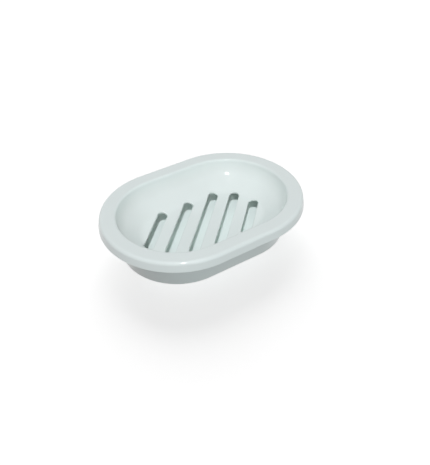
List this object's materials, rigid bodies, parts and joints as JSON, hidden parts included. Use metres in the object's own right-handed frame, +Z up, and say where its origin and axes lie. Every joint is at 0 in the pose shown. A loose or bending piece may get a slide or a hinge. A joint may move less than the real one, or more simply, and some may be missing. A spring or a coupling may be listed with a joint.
{
  "type": "soap dish",
  "caption": "Oval bathroom soap dish: a concave drain tray with slanting slots and a wide flat rim, resting on a tapered drip pan.",
  "frame": {"origin": "centre of the pan's flat foot, at table level", "axes": "+X along the dish's length, +Y across it, +Z up out of the bowl"},
  "size_m": [0.14, 0.101, 0.0285],
  "materials": {
    "pan_plastic": "smooth gloss moulding, pale mint",
    "tray_plastic": "smooth gloss moulding, pale mint"
  },
  "bodies": {
    "drip_pan": {"drip_pan": "pan_plastic"},
    "drain_tray": {"drain_tray": "tray_plastic"}
  },
  "joints": [
    {"name": "tray_lift", "type": "slide", "parent": "drip_pan", "child": "drain_tray", "axis": [0, 0, 1], "range_m": [0, 0.04]}
  ]
}
